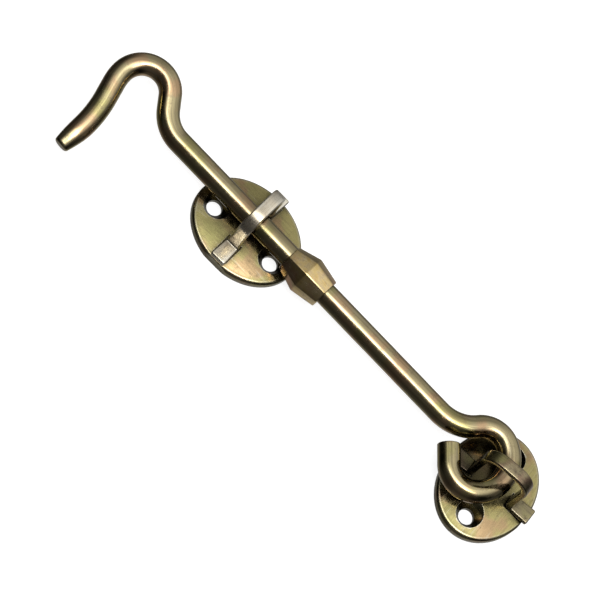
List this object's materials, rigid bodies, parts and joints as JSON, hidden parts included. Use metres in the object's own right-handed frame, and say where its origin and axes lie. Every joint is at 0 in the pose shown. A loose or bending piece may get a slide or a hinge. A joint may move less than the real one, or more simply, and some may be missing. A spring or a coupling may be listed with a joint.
{
  "type": "cabin hook",
  "caption": "Cabin hook for a door or gate: a bent round rod with a flared collar, linked by a ring eye through the staple of an oval anchor plate, with a loose catch plate.",
  "frame": {"origin": "centre of the anchor plate's flat back", "axes": "+X along the straight rod from the ring eye to the hook, +Z out of the plates' faces, +Y to the side that the hook's tip points to"},
  "size_m": [0.1576, 0.0372, 0.0202],
  "materials": {
    "rod_brass": "polished antique brass",
    "collar_brass": "antique brass, faceted",
    "plate_brass": "antique brass, brushed",
    "staple_brass": "antique brass, worn bright on the edges"
  },
  "bodies": {
    "anchor": {"anchor_plate": "plate_brass", "anchor_staple": "staple_brass"},
    "arm": {"hook_rod": "rod_brass", "stop_collar": "collar_brass"},
    "catch": {"catch_plate": "plate_brass", "catch_staple": "staple_brass"}
  },
  "joints": [
    {"name": "arm_swing", "type": "hinge", "parent": "anchor", "child": "arm", "pos_m": [0.0068, -0.00055, 0.0083], "axis": [0, 0, 1], "range_deg": [-90, 90]},
    {"name": "catch_slide", "type": "slide", "parent": "arm", "child": "catch", "axis": [1, 0, 0], "range_m": [-0.001, 0.024]}
  ]
}
